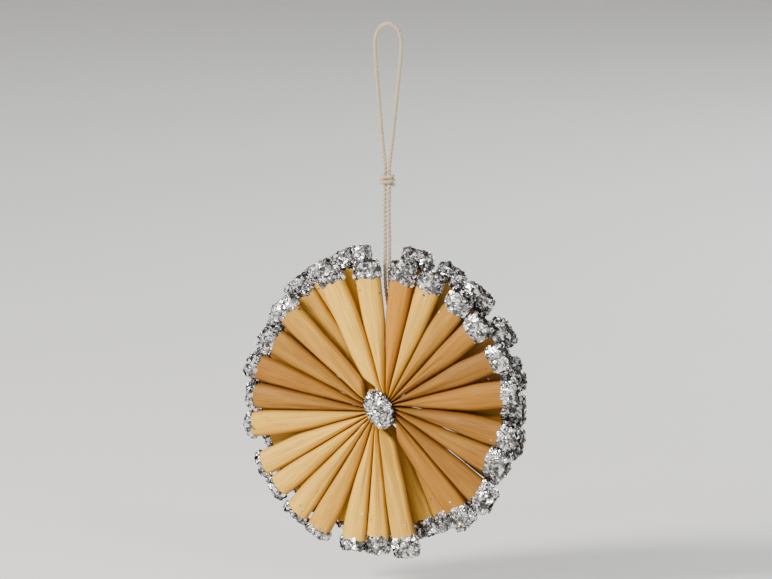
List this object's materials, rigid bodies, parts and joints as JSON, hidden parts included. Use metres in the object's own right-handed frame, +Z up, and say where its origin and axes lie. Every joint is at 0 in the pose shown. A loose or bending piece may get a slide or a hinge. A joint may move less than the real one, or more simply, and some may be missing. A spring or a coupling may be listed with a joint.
{
  "type": "straw ornament",
  "caption": "Round rosette of fanned straws tied at the middle, with glittered ends and a doubled thread loop for hanging on a tree.",
  "frame": {"origin": "inside of the top of the hanging loop, where the rosette hangs", "axes": "+Z up, the rosette's front faces -Y, +X to the right seen from the front"},
  "size_m": [0.0623, 0.0084, 0.111],
  "materials": {
    "straw": "natural dried straw, satin, with lengthwise grain",
    "thread": "cream twisted cotton",
    "glitter": "coarse silver glitter in clear glue"
  },
  "bodies": {
    "root": {"straw_front_01": "straw", "straw_front_02": "straw", "straw_front_03": "straw", "straw_front_04": "straw", "straw_front_05": "straw", "straw_front_06": "straw", "straw_front_07": "straw", "straw_front_08": "straw", "straw_front_09": "straw", "straw_front_10": "straw", "straw_front_11": "straw", "straw_front_12": "straw", "straw_back_01": "straw", "straw_back_02": "straw", "straw_back_03": "straw", "straw_back_04": "straw", "straw_back_05": "straw", "straw_back_06": "straw", "straw_back_07": "straw", "straw_back_08": "straw", "straw_back_09": "straw", "straw_back_10": "straw", "straw_back_11": "straw", "straw_back_12": "straw", "straw_back_13": "straw", "binding_thread": "thread", "glitter_dab_front": "glitter", "glitter_dab_back": "glitter", "hanging_loop": "thread", "loop_knot": "thread"}
  },
  "joints": []
}
